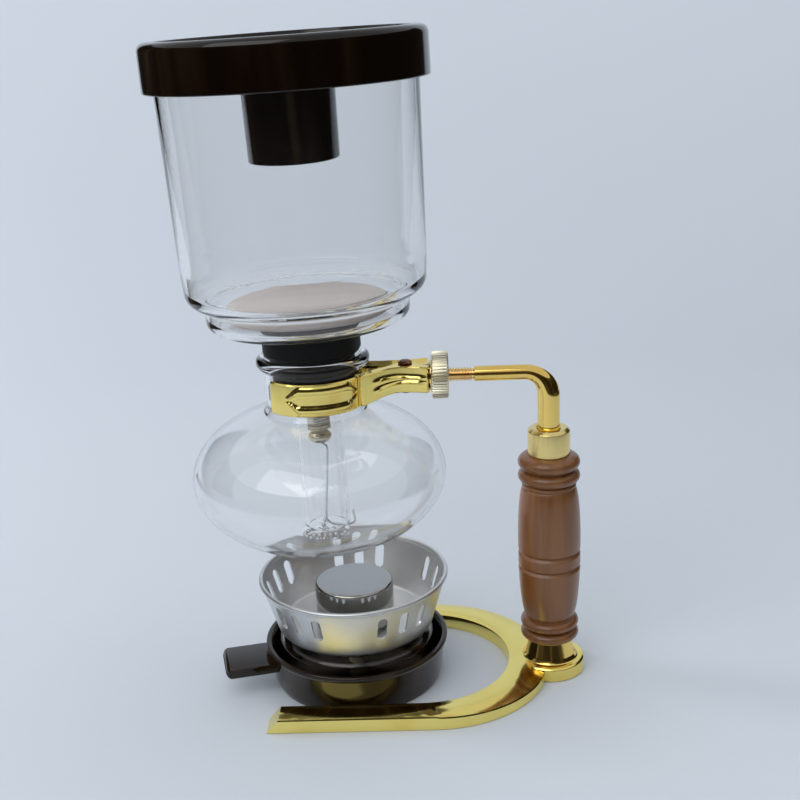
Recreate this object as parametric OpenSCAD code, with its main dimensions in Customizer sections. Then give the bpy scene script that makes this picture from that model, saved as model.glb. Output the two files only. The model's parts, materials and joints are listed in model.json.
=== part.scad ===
// Siphon coffee maker: clamp stand with a turned grip, glass bulb, plugged-in upper bowl with a
// sprung cloth filter, push-on lid that doubles as a stand, and a spirit lamp with a wind guard.
// Millimetres. Z = 0 is the table, the cups stand at cup_x and the post at post_x.

/* [Layout] */
// Middle of the cups, from the middle of the footprint
cup_x = -22.9; // [-26:0.1:-20]
// Distance from the cups' axis to the post's axis
reach = 83; // [82:0.5:86]
// Distance from the cups' axis to the lamp's axis, towards the post
lamp_offset = 10; // [0:0.5:11]
// Lean of the upper bowl in its rubber plug, in degrees
upper_lean = 1.5; // [0:0.5:2]

/* [Stand] */
// Thickness of the base plate
base_h = 5.5; // [5:0.5:7]
// Outer radius of the horseshoe
base_r = 42.5; // [42:0.5:45]
// Inner radius of the horseshoe, which the lamp slides through
base_bore_r = 32.8; // [32.7:0.1:33.2]
// Reach of the arms from the cups' axis, away from the post
arm_tip = 20.5; // [15:0.5:25]
// Radius of the pad under the post
pad_r = 13; // [12:0.5:14]
// Height of the cone between base and grip
foot_h = 7.5; // [6:0.5:9]
// Height of the grip
grip_h = 73.4; // [70:0.2:74]
// Largest radius of the grip's barrel
grip_r = 11.5; // [11:0.1:12]
// Radius of the rod in the post
rod_r = 4; // [3.8:0.1:4.2]
// Radius of the rod at the clamp
rod_end_r = 2.7; // [2.7:0.1:3]
// Height of the clamp's screw axis
screw_z = 117.2; // [117:0.1:118]

/* [Clamp] */
// Radius of the knurled nut
nut_r = 8.5; // [7:0.1:9]
// Thickness of the knurled nut
nut_w = 6.2; // [5:0.1:7]
// Pitch of the screw
pitch = 0.8; // [0.7:0.1:1]
// Thickness of the jaws' sheet
sheet = 1.2; // [1:0.1:1.3]
// Lower edge of the jaws' band
band_z = 109; // [108.8:0.1:109.2]
// Height of the jaws' band
band_h = 11.5; // [10:0.5:11.5]

/* [Glass] */
// Radius of the bulb
bulb_r = 45.8; // [44:0.1:46]
// Middle height of the bulb
bulb_z = 82; // [81.5:0.1:82]
// Half height of the bulb
bulb_half = 27; // [26.5:0.1:27.2]
// Radius of the bulb's neck
neck_r = 17.3; // [17:0.1:17.3]
// Wall of the glass
wall = 1.6; // [1.4:0.1:1.8]
// Radius of the upper bowl at its mouth
bowl_r = 44; // [43.5:0.1:44.2]
// Height of the upper bowl's mouth
bowl_top = 229; // [225:1:230]
// Radius of the tube under the upper bowl
stem_r = 8.4; // [8.2:0.1:8.6]
// Lower end of that tube
stem_z = 61; // [60:0.5:64]

/* [Lid] */
// Radius of the lid
lid_r = 47.5; // [47.3:0.1:48]
// Height of the lid
lid_h = 16; // [14:0.5:18]
// Lower edge of the lid
lid_z = 219.3; // [218:0.1:220]
// Length of the socket that hangs below the lid
socket_h = 25.8; // [20:0.2:30]

/* [Lamp] */
// Radius of the tray's lip
tray_r = 34.3; // [33.8:0.1:34.6]
// Height of the tray
tray_h = 16.5; // [16:0.5:17]
// Radius of the wind guard's rim
guard_r = 35.3; // [34:0.1:36]
// Height of the wind guard's rim
guard_top = 42.2; // [41:0.1:43]
// Groups of slots in the wind guard
slot_groups = 5; // [4:1:6]
// Radius of the snuffer cap
cap_r = 14.6; // [14:0.1:15]
// Top of the snuffer cap
cap_top = 38.5; // [38:0.5:39]

/* [Hidden] */
$fn = 96;
play = 0.3;
post_x = cup_x + reach;
lamp_x = cup_x + lamp_offset;
grip_z = base_h + foot_h;
collar_z = grip_z + grip_h;
collar_h = 10;
collar_r = 7.6;
tie_r = 2.5;
tie_hole_r = tie_r + 0.1;
rod_step_z = collar_z + 4;
bend_r = 8.5;
bend_z = screw_z - bend_r;
thread_r = 2.55;
thread_root_r = 2.1;
thread_end = 56.5;
rivet_at = 32.5;
rivet_r = 1.5;
nut_at = 41.6;
cone_l = 4;
cone_slope = 0.43;
cone_back_r = 5.5;
jaw_r = neck_r + play;
jaw_side = 3.6;
tail_end = 41;
tail_side = 5.6;
ear_r = 2.9;
bead_r = 2.2;
bead_z = 124.8;
plug_z = 127.4;
floor_z = 140.4;
well_r = 35.6;
disc_r = 28;
disc_z = 142.1;
disc_h = 2.8;
cloth_t = 1;
coil_r = 3.9;
spring_z = 98;
guard_z = 21.6;
guard_foot_r = 28.7;
guard_t = 0.8;
tab_turn = 13.6;

// Places its children, drawn about the Z axis, on the cups' axis.
module on_cups() { translate([cup_x, 0, 0]) children(); }

// The same, leaning with the upper bowl about the top of the plug.
module seated() {
    on_cups() translate([0, 0, plug_z]) rotate([0, -upper_lean, 0]) translate([0, 0, -plug_z]) children();
}

module on_lamp() { translate([lamp_x, 0, 0]) children(); }

module on_post() { translate([post_x, 0, 0]) children(); }

// Turns an outline of [radius, height] points about Z.
module turned(points) { rotate_extrude() polygon(points); }

// Points on an elliptical arc, from angle a to angle b.
function arc(x, y, rx, ry, a, b, n = 8) =
    [for (i = [0:n]) let (t = a + (b - a) * i / n) [x + rx * cos(t), y + ry * sin(t)]];

// A round bar swept along points, with one radius for each point and a frame that keeps Y.
module swept(points, radii, sides = 8) {
    last = len(points) - 1;
    function along(i) =
        let (d = points[min(i + 1, last)] - points[max(i - 1, 0)]) d / norm(d);
    function ring(i) =
        let (t = along(i), side = abs(t[1]) > 0.9 ? [1, 0, 0] : [0, 1, 0],
             u = cross(t, side) / norm(cross(t, side)), v = cross(t, u))
        [for (k = [0:sides - 1]) let (a = 360 * k / sides)
            points[i] + radii[i] * (cos(a) * u + sin(a) * v)];
    walls = [for (i = [0:last - 1], k = [0:sides - 1]) let (n = (k + 1) % sides)
        [i * sides + k, i * sides + n, (i + 1) * sides + n, (i + 1) * sides + k]];
    polyhedron(
        [for (i = [0:last]) each ring(i)],
        concat([[for (k = [sides - 1:-1:0]) k]], walls, [[for (k = [0:sides - 1]) last * sides + k]])
    );
}

// ---------- stand ----------

// The horseshoe's plan, drawn in by inset all round.
module horseshoe(inset) {
    bore_x = cup_x + 34.5;
    ring_x = cup_x + 39.5;
    difference() {
        union() {
            translate([ring_x, 0]) circle(base_r - inset);
            translate([cup_x - arm_tip, -base_r + inset]) square([arm_tip + 39.5, 2 * (base_r - inset)]);
            translate([post_x, 0]) circle(pad_r - inset);
        }
        translate([bore_x, 0]) circle(base_bore_r + inset);
        translate([cup_x - arm_tip - 1, -base_bore_r - inset])
            square([arm_tip + 35.5, 2 * (base_bore_r + inset)]);
    }
}

module stand_base() color("gold") difference() {
    edge = 1.3;
    union() {
        linear_extrude(base_h - edge) horseshoe(0);
        translate([0, 0, base_h - edge - 0.01]) linear_extrude(edge + 0.01) horseshoe(0.8);
    }
    // sloping ends of the two arms
    translate([cup_x - arm_tip, 0, 0]) rotate([0, 42, 0])
        translate([-20, -base_r - 1, 0]) cube([20, 2 * base_r + 2, 20]);
    on_post() translate([0, 0, -1]) cylinder(r = tie_hole_r, h = base_h + 2);
    on_post() translate([0, 0, -1]) cylinder(r = 6.2, h = 4);
}

module post_foot() color("gold") on_post() turned([
    [tie_hole_r, base_h], [10, base_h], [10, base_h + 0.8], [7.7, grip_z], [tie_hole_r, grip_z]
]);

module grip() color("saddlebrown") on_post() {
    z = grip_z;
    top = collar_z;
    barrel_low = z + 9.3;
    barrel_high = top - 12.4;
    middle = z + 38;
    groove = 1;
    turned(concat(
        [[tie_hole_r, z], [8.2, z]],
        arc(7.8, z + 2.2, 2.9, 2.2, -80, 85, 6),
        arc(7.8, z + 6.7, 2.9, 2.2, -85, 80, 6),
        [[8.6, barrel_low]],
        arc(8.6, middle, grip_r - 8.6, middle - barrel_low, -80, -22, 7),
        [[grip_r - 0.2, z + 28.9], [grip_r - groove, z + 29.9], [grip_r - 0.1, z + 30.9]],
        [[grip_r - 0.1, z + 34.7], [grip_r - groove, z + 35.7], [grip_r, z + 36.7]],
        arc(9.4, middle + 2, grip_r - 9.4, barrel_high - middle - 2, 0, 85, 8),
        [[9.4, barrel_high], [9.9, barrel_high + 0.8], [9.4, barrel_high + 1.6]],
        arc(8.3, top - 8.2, 2.95, 2.5, -80, 80, 7),
        arc(8.3, top - 2.9, 2.95, 2.7, -80, 75, 7),
        [[8.3, top], [tie_hole_r, top]]
    ));
}

module top_collar() color("gold") on_post() turned([
    [tie_hole_r, collar_z], [collar_r, collar_z], [collar_r, collar_z + collar_h - 0.8],
    [collar_r - 0.8, collar_z + collar_h], [rod_r + 0.1, collar_z + collar_h],
    [rod_r + 0.1, rod_step_z - 0.2], [tie_hole_r, rod_step_z - 0.2]
]);

// One bent rod: the tie bolt through the post, the bend, the screw and the eye for the rivet.
module support_arm() color("gold") {
    on_post() {
        translate([0, 0, 0.4]) cylinder(r = tie_r, h = rod_step_z);
        translate([0, 0, rod_step_z]) cylinder(r = rod_r, h = bend_z - rod_step_z);
    }
    // the bend, drawn down from one radius to the other in short steps
    step = 10;
    translate([post_x - bend_r, 0, bend_z]) rotate([90, 0, 0]) for (a = [0:step:90 - step])
        rotate_extrude(angle = step, start = a) translate([bend_r, 0])
            circle(rod_end_r + (rod_r - rod_end_r) * (1 + cos(2 * a + step)) / 2);
    translate([cup_x, 0, screw_z]) rotate([0, 90, 0]) {
        translate([0, 0, thread_end]) cylinder(r = rod_end_r, h = reach - bend_r - thread_end);
        crests = floor((thread_end - 37) / pitch);
        turned(concat(
            [[0, 35], [thread_root_r, 35]],
            [for (i = [0:crests - 1], p = [[thread_root_r, 0.25], [thread_r, 0.5]])
                [p[0], 37 + (i + p[1]) * pitch]],
            [[thread_root_r, thread_end], [0, thread_end]]
        ));
    }
    // flat eye on the rivet
    difference() {
        translate([cup_x + rivet_at, 0, screw_z - 1.9]) union() {
            cylinder(r = 3, h = 3.8);
            translate([0, -2, 0]) cube([3.5, 4, 3.8]);
        }
        translate([cup_x + rivet_at, 0, screw_z - 3]) cylinder(r = rivet_r + 0.05, h = 6);
    }
}

module base_washer() color("silver") on_post() translate([0, 0, 2.2]) difference() {
    cylinder(r = 5.5, h = 0.8);
    translate([0, 0, -1]) cylinder(r = tie_hole_r, h = 3);
}

module base_nut() color("silver") on_post() translate([0, 0, 0.4]) difference() {
    cylinder(r = 4.7, h = 1.8, $fn = 6);
    translate([0, 0, -1]) cylinder(r = tie_r + 0.02, h = 4);
}

// ---------- clamp ----------

// One jaw, on the side of negative Y: the band round the neck, the arm and its flared tail.
module jaw(ear_low, ear_high) {
    outer = jaw_r + sheet;
    leave = 26;
    tip = 42;
    from = [jaw_r * cos(leave), -jaw_r * sin(leave)];
    module plan() {
        intersection() {
            difference() { circle(outer); circle(jaw_r); }
            polygon([[0, 0], [-40 * cos(tip), -40 * sin(tip)], [-40, -60], [40, -60],
                [40 * cos(leave), -40 * sin(leave)]]);
        }
        mid = from + [0.5, -0.25];
        pivot = [rivet_at - 4, -jaw_side - sheet / 2];
        bend = [rivet_at + 3, -jaw_side - sheet / 2];
        tail = [tail_end - sheet / 2, -tail_side - sheet / 2];
        for (s = [[mid, pivot], [pivot, bend], [bend, tail]]) {
            d = (s[1] - s[0]) / norm(s[1] - s[0]);
            n = [-d[1], d[0]] * sheet / 2;
            polygon([s[0] + n, s[1] + n, s[1] - n, s[0] - n]);
            translate(s[1]) circle(sheet / 2);
        }
        translate(mid) circle(sheet / 2);
    }
    intersection() {
        translate([0, 0, band_z - 1]) linear_extrude(band_h + 6) plan();
        rotate([90, 0, 0]) linear_extrude(40) polygon([
            [-30, band_z], [14, band_z], [rivet_at, screw_z - 4.7], [60, screw_z - 4.7],
            [60, screw_z + 4.7], [rivet_at, screw_z + 4.7], [14, band_z + band_h],
            [-30, band_z + band_h]
        ]);
    }
    // ears that the rivet passes through
    for (z = [ear_low, ear_high]) translate([rivet_at, 0, z]) difference() {
        union() {
            cylinder(r = ear_r, h = sheet);
            translate([-ear_r, -jaw_side - 0.4, 0]) cube([2 * ear_r, jaw_side + 0.4, sheet]);
        }
        translate([0, 0, -1]) cylinder(r = rivet_r + 0.05, h = 4);
    }
}

module jaw_front() color("gold") on_cups() jaw(screw_z - 4.7, screw_z + 4.7 - sheet);

module jaw_back() color("gold") on_cups() mirror([0, 1, 0])
    jaw(screw_z - 4.7 + sheet + 0.15, screw_z + 4.7 - 2 * sheet - 0.15);

module jaw_rivet() color("peru") translate([cup_x + rivet_at, 0, screw_z]) {
    reach_z = 4.9;
    translate([0, 0, -reach_z]) cylinder(r = rivet_r, h = 2 * reach_z);
    translate([0, 0, reach_z]) cylinder(r1 = 2.7, r2 = 1.8, h = 1);
    translate([0, 0, -reach_z - 1]) cylinder(r1 = 1.8, r2 = 2.7, h = 1);
}

module cone_washer() color("gold") translate([cup_x + nut_at, 0, screw_z]) rotate([0, 90, 0]) turned([
    [thread_r + 0.05, -cone_l], [cone_back_r - cone_l * cone_slope, -cone_l], [cone_back_r, -0.1],
    [thread_r + 0.05, -0.1]
]);

module knurled_nut() color("khaki") translate([cup_x + nut_at, 0, screw_z]) rotate([0, 90, 0])
    difference() {
        turned([
            [thread_r + 0.05, 0], [nut_r - 0.5, 0], [nut_r, 0.5], [nut_r, nut_w - 0.5],
            [nut_r - 0.5, nut_w], [thread_r + 0.05, nut_w]
        ]);
        for (a = [0:10:350]) rotate(a) translate([nut_r + 0.25, 0, -1])
            cylinder(r = 0.6, h = nut_w + 2, $fn = 16);
    }

// ---------- glass ----------

// Outline of the bulb, drawn in by t: the pushed-in foot, the belly and the neck's foot.
function bulb_side(t) =
    let (neck = neck_r - t, top = acos(neck / (bulb_r - t)))
    concat(
        [[0, bulb_z - bulb_half + 1.6 + t], [9, bulb_z - bulb_half + 1.1 + t]],
        arc(0, bulb_z, bulb_r - t, bulb_half - t, -68, top, 34)
    );

module lower_bowl() color("lightblue", 0.3) on_cups() {
    inner = bulb_side(wall);
    turned(concat(
        bulb_side(0),
        [[neck_r, bead_z - 1.6]],
        arc(neck_r + 0.6, bead_z, bead_r, bead_r, -75, 120, 10),
        [[neck_r - wall, bead_z + 1.8], [neck_r - wall, inner[len(inner) - 1][1]]],
        [for (i = [len(inner) - 2:-1:0]) inner[i]]
    ));
}

// Outline of the upper bowl's side, drawn in by t, from the tube to the mouth.
function bowl_side(t) = concat(
    arc(stem_r - t + 3, floor_z - 1.6 + t - 3, 3, 3, 180, 90, 4),
    [[well_r - 4, floor_z - 1.6 + t]],
    arc(well_r - 3.4 - t, floor_z + 1.6, 2.9, 3.2 - t, -90, 0, 5),
    [[well_r - t, floor_z + 4.2]],
    arc(well_r - 1.9 - t * 0.5, floor_z + 14 + t, 8, 8.6, -60, 0, 7),
    [[bowl_r - t, bowl_top]]
);

module upper_bowl() color("lightblue", 0.3) seated() {
    inner = bowl_side(wall);
    turned(concat(
        [[stem_r, stem_z + 0.6]],
        bowl_side(0),
        arc(bowl_r - wall / 2, bowl_top, wall / 2, wall / 2, 20, 160, 5),
        [for (i = [len(inner) - 1:-1:0]) inner[i]],
        [[stem_r - 1.4, floor_z - 5], [stem_r - 1.4, stem_z + 0.6], [stem_r - 0.9, stem_z],
            [stem_r - 0.5, stem_z]]
    ));
}

module rubber_plug() color("black") seated() turned([
    [stem_r + 0.05, 116], [14.3, 116], [15.1, plug_z], [16.9, plug_z], [17.4, plug_z + 1.5],
    [17.4, floor_z - 3.4], [16.4, floor_z - 1.9], [stem_r + 3.4, floor_z - 1.9],
    [stem_r + 0.05, floor_z - 5.4]
]);

module lid() color([0.2, 0.12, 0.08]) seated() {
    top = lid_z + lid_h;
    shell = 2;
    turned(concat(
        [[lid_r - shell, lid_z], [lid_r, lid_z], [lid_r, top - 4]],
        arc(lid_r - 4, top - 4, 4, 4, 8, 90, 6),
        [[lid_r - 5.5, top - 1.5], [0, top - 1.5], [0, top - 3.7], [13.6, top - 3.7],
            [13.6, lid_z - socket_h], [15.5, lid_z - socket_h], [15.9, top - 3.7],
            [lid_r - shell - 2, top - 3.7], [lid_r - shell, top - 5.7]]
    ));
}

// ---------- filter ----------

module filter_disc() color("silver") seated() difference() {
    translate([0, 0, disc_z]) cylinder(r = disc_r, h = disc_h);
    translate([0, 0, disc_z - 1]) cylinder(r = 1.2, h = disc_h + 2);
}

module filter_cloth() color("mistyrose") seated() {
    side = disc_r + 0.1;
    top = disc_z + disc_h + 0.1;
    turned([
        [0, top], [side, top], [side, disc_z - 0.1], [13, disc_z - 0.1], [13, disc_z - 0.9],
        [side + cloth_t - 1, disc_z - 0.9], [side + cloth_t, disc_z], [side + cloth_t, top + 0.4],
        [side + cloth_t - 0.6, top + cloth_t], [0, top + cloth_t]
    ]);
}

module drawstring() color("white") seated() rotate_extrude()
    translate([12.2, disc_z - 0.65]) circle(0.5);

module filter_spring() color("goldenrod") seated() {
    turns = 16;
    steps = 14;
    count = turns * steps;
    swept(
        [for (i = [0:count]) let (a = 360 * i / steps)
            [coil_r * cos(a), coil_r * sin(a), spring_z + 0.6 + (disc_z - spring_z - 1.2) * i / count]],
        [for (i = [0:count]) 0.45], 6
    );
}

module spring_ring() color("silver") seated() turned([
    [0.8, 94], [3.2, 94], [4.3, 95.2], [4.3, 96.8], [3.4, spring_z - 0.1], [0.8, spring_z - 0.1]
]);

module filter_wire() color("silver") seated() swept(
    [[0, 0, 97], [0, 0, 93.2], [1.8, 0, 92.2], [2.3, 0, 90.4], [1.2, 0, 80], [-0.2, 0, 68], [-0.4, 0, 64]],
    [0.5, 0.5, 0.5, 0.5, 0.5, 0.5, 0.5], 8
);

module filter_hook() color("silver") seated() swept(
    [[-0.4, 0, 63.4], [0.4, 0, 61.8], [2.2, 0, 60.6], [5, 0, 60], [8, 0, 60], [9.6, 0, 60.5],
        [10.2, 0, 61.6], [10, 0, 63.6], [9.6, 0, 66]],
    [for (i = [0:8]) 0.5], 8
);

// The pull chain: beads that drop from the wire's end and lie in a loose loop above the bulb's
// floor, with the last of them across the front of the loop.
module bead_chain() color("silver") seated() {
    bead = 0.85;
    lying_z = 59.8;
    drop = [for (i = [0:2]) [-0.8 - 0.5 * i, -1.7 - 1.1 * i, 63.4 - 1.75 * i]];
    loop = [for (i = [0:17]) let (a = 90 - 20 * i) [7.5 * cos(a) - 0.5, 5 * sin(a) - 7, lying_z]];
    tail = [for (i = [-2:2]) [2 * i, -12.2, lying_z + 2 * bead + 0.1]];
    for (p = concat(drop, loop, tail)) translate(p) sphere(bead, $fn = 24);
}

// ---------- lamp ----------

module lamp_tray() color([0.2, 0.12, 0.08]) on_lamp() {
    skin = 1.8;
    tab_l = 16.4;
    tab_w = 17.5;
    turned([
        [0, 0], [30.9, 0], [31.7, 0.8], [32.1, 5.5], [33.1, 12], [tray_r - 0.4, tray_h - 2.2],
        [tray_r, tray_h - 1.4], [tray_r, tray_h - 0.5], [tray_r - 0.5, tray_h],
        [tray_r - skin, tray_h], [tray_r - skin - 0.8, tray_h - 1], [33.1 - skin, 12],
        [32.1 - skin, 5.5], [31.2 - skin, 2], [0, 2]
    ]);
    rotate(180 + tab_turn) translate([0, 0, 9]) difference() {
        translate([31.9, -tab_w / 2, 0]) cube([tray_r + tab_l - 31.9, tab_w, 3.5]);
        for (s = [-1, 1]) translate([tray_r + tab_l, s * tab_w / 2, -1]) difference() {
            cube([4, 4, 12], center = true);
            translate([-2, -s * 2, -7]) cylinder(r = 2, h = 14);
        }
    }
}

module lamp_reservoir() color("lightblue", 0.3) on_lamp() turned(concat(
    [[0, 2.3], [28.2, 2.3], [29.6, 4], [30.2, 12.5]],
    arc(25.2, 13.5, 5.2, 7, 0, 80, 6),
    [[24, 20.8], [8.7, 20.8], [8.7, 14], [10.3, 14], [10.3, 19.2], [24.4, 19.2]],
    arc(24.6, 13.5, 4.2, 5.6, 80, 0, 6),
    [[28.6, 12.5], [28, 4.6], [27.4, 3.9], [0, 3.9]]
));

module wind_guard() color("lightgray") on_lamp() difference() {
    slope = (guard_r - 0.9 - guard_foot_r) / (guard_top - 1 - guard_z - 2.6);
    turned(concat(
        [[11, guard_z], [guard_foot_r - 2.4, guard_z]],
        arc(guard_foot_r - 2.4, guard_z + 2.6, 2.4, 2.6, -80, 0, 5),
        [[guard_r - 0.9, guard_top - 2]],
        arc(guard_r - 0.8, guard_top - 0.9, 0.8, 0.9, -70, 180, 7),
        [[guard_r - 1.8, guard_top - 2], [guard_foot_r - guard_t, guard_z + 2.6],
            [guard_foot_r - 2.8, guard_z + guard_t], [11, guard_z + guard_t]]
    ));
    for (g = [0:slot_groups - 1], s = [-1, 0, 1])
        rotate(-54 + g * 360 / slot_groups + s * 15) translate([guard_foot_r + 3.1, 0, 33.4])
            rotate([0, 90 - 18, 0]) linear_extrude(8, center = true) union() {
                square([6, 3.6], center = true);
                for (e = [-3, 3]) translate([e, 0]) circle(1.8);
            }
}

module guard_gasket() color("dimgray") on_lamp() translate([0, 0, 20.9]) difference() {
    cylinder(r = 14, h = 0.6);
    translate([0, 0, -1]) cylinder(r = 9, h = 3);
}

module wick_holder() color("silver") on_lamp() turned([
    [3.6, 10], [8.2, 10], [8.2, guard_z + 0.9], [13, guard_z + 0.9], [13, guard_z + 1.6],
    [8.4, guard_z + 1.6], [6.2, guard_z + 6], [6.2, 33], [5.6, 33.6], [3.6, 33.6]
]);

module wick() color("ivory") on_lamp() translate([0, 0, 4.6]) cylinder(r = 3.5, h = 31.4);

module snuffer_cap() color("silver") on_lamp() {
    low = guard_z + 1.9;
    turned(concat(
        [[cap_r - 0.7, low], [cap_r, low], [cap_r, cap_top - 1.2]],
        arc(cap_r - 1.2, cap_top - 1.2, 1.2, 1.2, 10, 90, 4),
        [[0, cap_top], [0, cap_top - 0.7], [cap_r - 1.4, cap_top - 0.7], [cap_r - 0.7, cap_top - 1.4]]
    ));
}

stand_base();
post_foot();
grip();
top_collar();
support_arm();
base_washer();
base_nut();
jaw_front();
jaw_back();
jaw_rivet();
cone_washer();
knurled_nut();
lower_bowl();
upper_bowl();
rubber_plug();
lid();
filter_disc();
filter_cloth();
drawstring();
filter_spring();
spring_ring();
filter_wire();
filter_hook();
bead_chain();
lamp_tray();
lamp_reservoir();
wind_guard();
guard_gasket();
wick_holder();
wick();
snuffer_cap();
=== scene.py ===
import json
import math

import bpy
from mathutils import Matrix, Vector


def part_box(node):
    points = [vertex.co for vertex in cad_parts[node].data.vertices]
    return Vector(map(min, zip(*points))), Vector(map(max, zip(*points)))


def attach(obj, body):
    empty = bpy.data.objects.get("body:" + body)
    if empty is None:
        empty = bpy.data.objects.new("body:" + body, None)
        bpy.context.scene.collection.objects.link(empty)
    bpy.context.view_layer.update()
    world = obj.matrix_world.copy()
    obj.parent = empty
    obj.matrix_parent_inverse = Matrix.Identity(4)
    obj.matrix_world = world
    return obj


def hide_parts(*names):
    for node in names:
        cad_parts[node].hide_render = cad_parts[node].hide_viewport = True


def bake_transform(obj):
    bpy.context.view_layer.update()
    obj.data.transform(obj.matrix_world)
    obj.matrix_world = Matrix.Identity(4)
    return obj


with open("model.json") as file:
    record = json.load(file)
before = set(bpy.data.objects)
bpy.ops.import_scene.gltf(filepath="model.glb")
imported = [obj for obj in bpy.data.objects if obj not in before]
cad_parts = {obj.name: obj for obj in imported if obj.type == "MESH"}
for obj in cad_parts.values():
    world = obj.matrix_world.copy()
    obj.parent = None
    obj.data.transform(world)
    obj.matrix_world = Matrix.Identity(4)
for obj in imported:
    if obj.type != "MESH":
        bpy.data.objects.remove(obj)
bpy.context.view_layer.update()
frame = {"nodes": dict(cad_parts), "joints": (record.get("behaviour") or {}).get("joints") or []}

# ---------- Studio ----------
# A pale blue-grey backdrop that sweeps up all round the maker, a soft light in front on the left,
# a low one further round and one overhead. The dark room in front of the backdrop, which only the
# gloss can see, gives the lid its black and the plated parts their dark bands.

MM = 0.001
UP = Vector((0, 0, 1))


class Value:
    """An output socket that Python's operators work on: each one adds the Math node it needs."""

    def __init__(self, finish, socket):
        self.finish, self.socket = finish, socket

    def math(self, operation, *others):
        return self.finish.node("Math", {"operation": operation}, *others)

    def __add__(self, other):
        return self.math("ADD", self, other)

    def __mul__(self, other):
        return self.math("MULTIPLY", self, other)

    def above(self, low, high):
        """0 up to low, 1 from high on, and a smooth rise between."""
        return self.finish.node(
            "MapRange", {"interpolation_type": "SMOOTHSTEP"}, self, low, high, 0.0, 1.0)


class Finish:
    """A material. node() adds one node, and surface() the shader that everything ends in."""

    def __init__(self, name):
        self.material = bpy.data.materials.new(name)
        self.material.use_nodes = True
        self.tree = self.material.node_tree
        self.tree.nodes.clear()
        self.object_place = self.node("TexCoord", output=3)

    def node(self, kind, settings=None, *values, output=0, **named):
        made = self.tree.nodes.new("ShaderNode" + kind)
        for setting, choice in (settings or {}).items():
            if setting == "stops":
                ramp = made.color_ramp.elements
                for i, (position, colour) in enumerate(choice):
                    stop = ramp[i] if i < 2 else ramp.new(position)
                    stop.position, stop.color = position, (*colour, 1)
            else:
                setattr(made, setting, choice)
        sockets = list(zip(made.inputs, values))
        sockets += [(made.inputs[name.replace("_", " ")], value) for name, value in named.items()]
        for socket, value in sockets:
            if isinstance(value, Value):
                self.tree.links.new(value.socket, socket)
            elif value is not None:
                socket.default_value = value
        return Value(self, made.outputs[output]) if made.outputs else None

    def place(self, stretch=(1, 1, 1), centre=(0, 0, 0)):
        """Object coordinates from a centre, stretched along the piece's own axes."""
        moved = self.node("VectorMath", {"operation": "SUBTRACT"}, self.object_place, centre)
        return self.node("Mapping", None, moved, Scale=stretch)

    def noise(self, scale, detail=2.0, stretch=(1, 1, 1), centre=(0, 0, 0)):
        return self.node(
            "TexNoise", None, Vector=self.place(stretch, centre), Scale=scale, Detail=detail)

    def blend(self, share, first, second):
        """One colour at share 0 and another at share 1."""
        node = self.tree.nodes.new("ShaderNodeMix")
        node.data_type = "RGBA"
        for index, value in ((0, share), (6, first), (7, second)):
            if isinstance(value, Value):
                self.tree.links.new(value.socket, node.inputs[index])
            else:
                node.inputs[index].default_value = value if index == 0 else (*value, 1)
        return Value(self, node.outputs[2])

    def bump(self, height, depth):
        """A bump whose height runs over depth, in metres."""
        return self.node("Bump", None, Strength=1.0, Distance=depth, Height=height)

    def surface(self, **sockets):
        shader = self.node("BsdfPrincipled", None, **{
            name: (*value, 1) if isinstance(value, tuple) and len(value) == 3 else value
            for name, value in sockets.items()})
        self.node("OutputMaterial", None, Surface=shader)
        return self.material


def corner_arc(before, corner, after, radius, steps):
    """The points that round off one corner of an outline."""
    to_before, to_after = before - corner, after - corner
    reach = min(to_before.length, to_after.length) * 0.49
    to_before.normalize()
    to_after.normalize()
    half = math.acos(max(-1, min(1, to_before.dot(to_after)))) / 2
    if half > math.radians(89) or radius <= 0:
        return [corner]
    reach = min(reach, radius / math.tan(half))
    start, end = corner + to_before * reach, corner + to_after * reach
    middle = corner + (to_before + to_after).normalized() * reach / math.cos(half)
    spoke, last = start - middle, end - middle
    sweep = spoke.angle_signed(last)
    points = []
    for i in range(steps + 1):
        turned_spoke = spoke.copy()
        turned_spoke.rotate(Matrix.Rotation(-sweep * i / steps, 2))
        points.append(middle + turned_spoke)
    return points


def outline(corners, closed=False, steps=4):
    """A drawn outline in millimetres: each corner is (across, up, rounding)."""
    flat = [Vector(c[:2]) for c in corners]
    points = []
    for i, corner in enumerate(corners):
        inner = closed or 0 < i < len(corners) - 1
        rounding = corner[2] if len(corner) > 2 and inner else 0
        before, after = flat[i - 1], flat[(i + 1) % len(flat)]
        points += corner_arc(before, flat[i], after, rounding, steps) if rounding else [flat[i]]
    return points + points[:1] if closed else points


def ellipse(across, up, middle, start, end, steps, at=0.0):
    """Corners along an arc of an ellipse, its middle at that height, from one angle to another."""
    angles = [math.radians(start + (end - start) * i / steps) for i in range(steps + 1)]
    return [(at + across * math.cos(a), middle + up * math.sin(a)) for a in angles]


def finish_mesh(angle):
    """Welds the active piece, turns its faces outward and smooths it up to an angle."""
    bpy.ops.object.mode_set(mode="EDIT")
    bpy.ops.mesh.select_all(action="SELECT")
    bpy.ops.mesh.remove_doubles(threshold=1e-6)
    bpy.ops.mesh.normals_make_consistent(inside=False)
    bpy.ops.object.mode_set(mode="OBJECT")
    bpy.ops.object.shade_smooth_by_angle(angle=math.radians(angle))


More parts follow.
